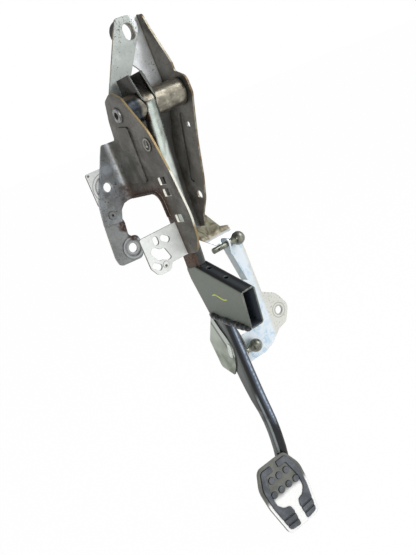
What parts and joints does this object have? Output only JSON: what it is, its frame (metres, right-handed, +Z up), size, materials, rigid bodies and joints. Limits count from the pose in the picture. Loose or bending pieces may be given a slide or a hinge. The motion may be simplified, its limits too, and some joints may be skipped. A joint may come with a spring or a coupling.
{
  "type": "brake pedal",
  "caption": "Hanging brake pedal in its pressed-steel pedal box, with a rubber and metal pad, a bulkhead flange and mounting ears.",
  "frame": {"origin": "midpoint of the two left bulkhead bolt holes, on the face that meets the bulkhead", "axes": "+Z up, +Y forward through the bulkhead (away from the driver), +X to the right as the driver looks forward"},
  "size_m": [0.1649, 0.1141, 0.507],
  "materials": {
    "side_steel": "dull, oiled and lightly rusted",
    "flange_steel": "dull, weathered",
    "zinc_plate": "zinc plated, weathered",
    "bright_zinc": "zinc plated, bright",
    "black_bush": "matte",
    "rusty_steel": "bare, brown rust on top",
    "pin_steel": "dull zinc",
    "arm_steel": "zinc plated, worn",
    "gloss_black": "gloss",
    "satin_black": "satin",
    "dark_pin": "dull",
    "pad_rubber": "worn smooth",
    "pad_metal": "brushed"
  },
  "bodies": {
    "pedal_box": {"left_side_plate": "side_steel", "lower_flange": "flange_steel", "flange_rivet": "flange_steel", "bulkhead_plate": "zinc_plate", "right_side_plate": "side_steel", "upper_brace": "zinc_plate", "ear_sleeve": "pin_steel", "ear_bush": "black_bush", "slotted_bracket": "zinc_plate", "pivot_sleeve": "pin_steel", "pivot_pin": "pin_steel", "side_bracket": "bright_zinc", "upper_ball_pin": "dark_pin", "lower_ball_pin": "dark_pin"},
    "pedal": {"hub_tube": "rusty_steel", "left_bush": "black_bush", "right_bush": "black_bush", "pedal_arm": "arm_steel", "lower_arm": "gloss_black", "extension_box": "satin_black", "forward_brace": "bright_zinc", "pad_plate": "satin_black", "pad_rubber": "pad_rubber", "pad_cover": "pad_metal"}
  },
  "joints": [
    {"name": "pedal_pivot", "type": "hinge", "parent": "pedal_box", "child": "pedal", "pos_m": [0.0527, -0.044, 0.0855], "axis": [1, 0, 0], "range_deg": [0, 18]}
  ]
}
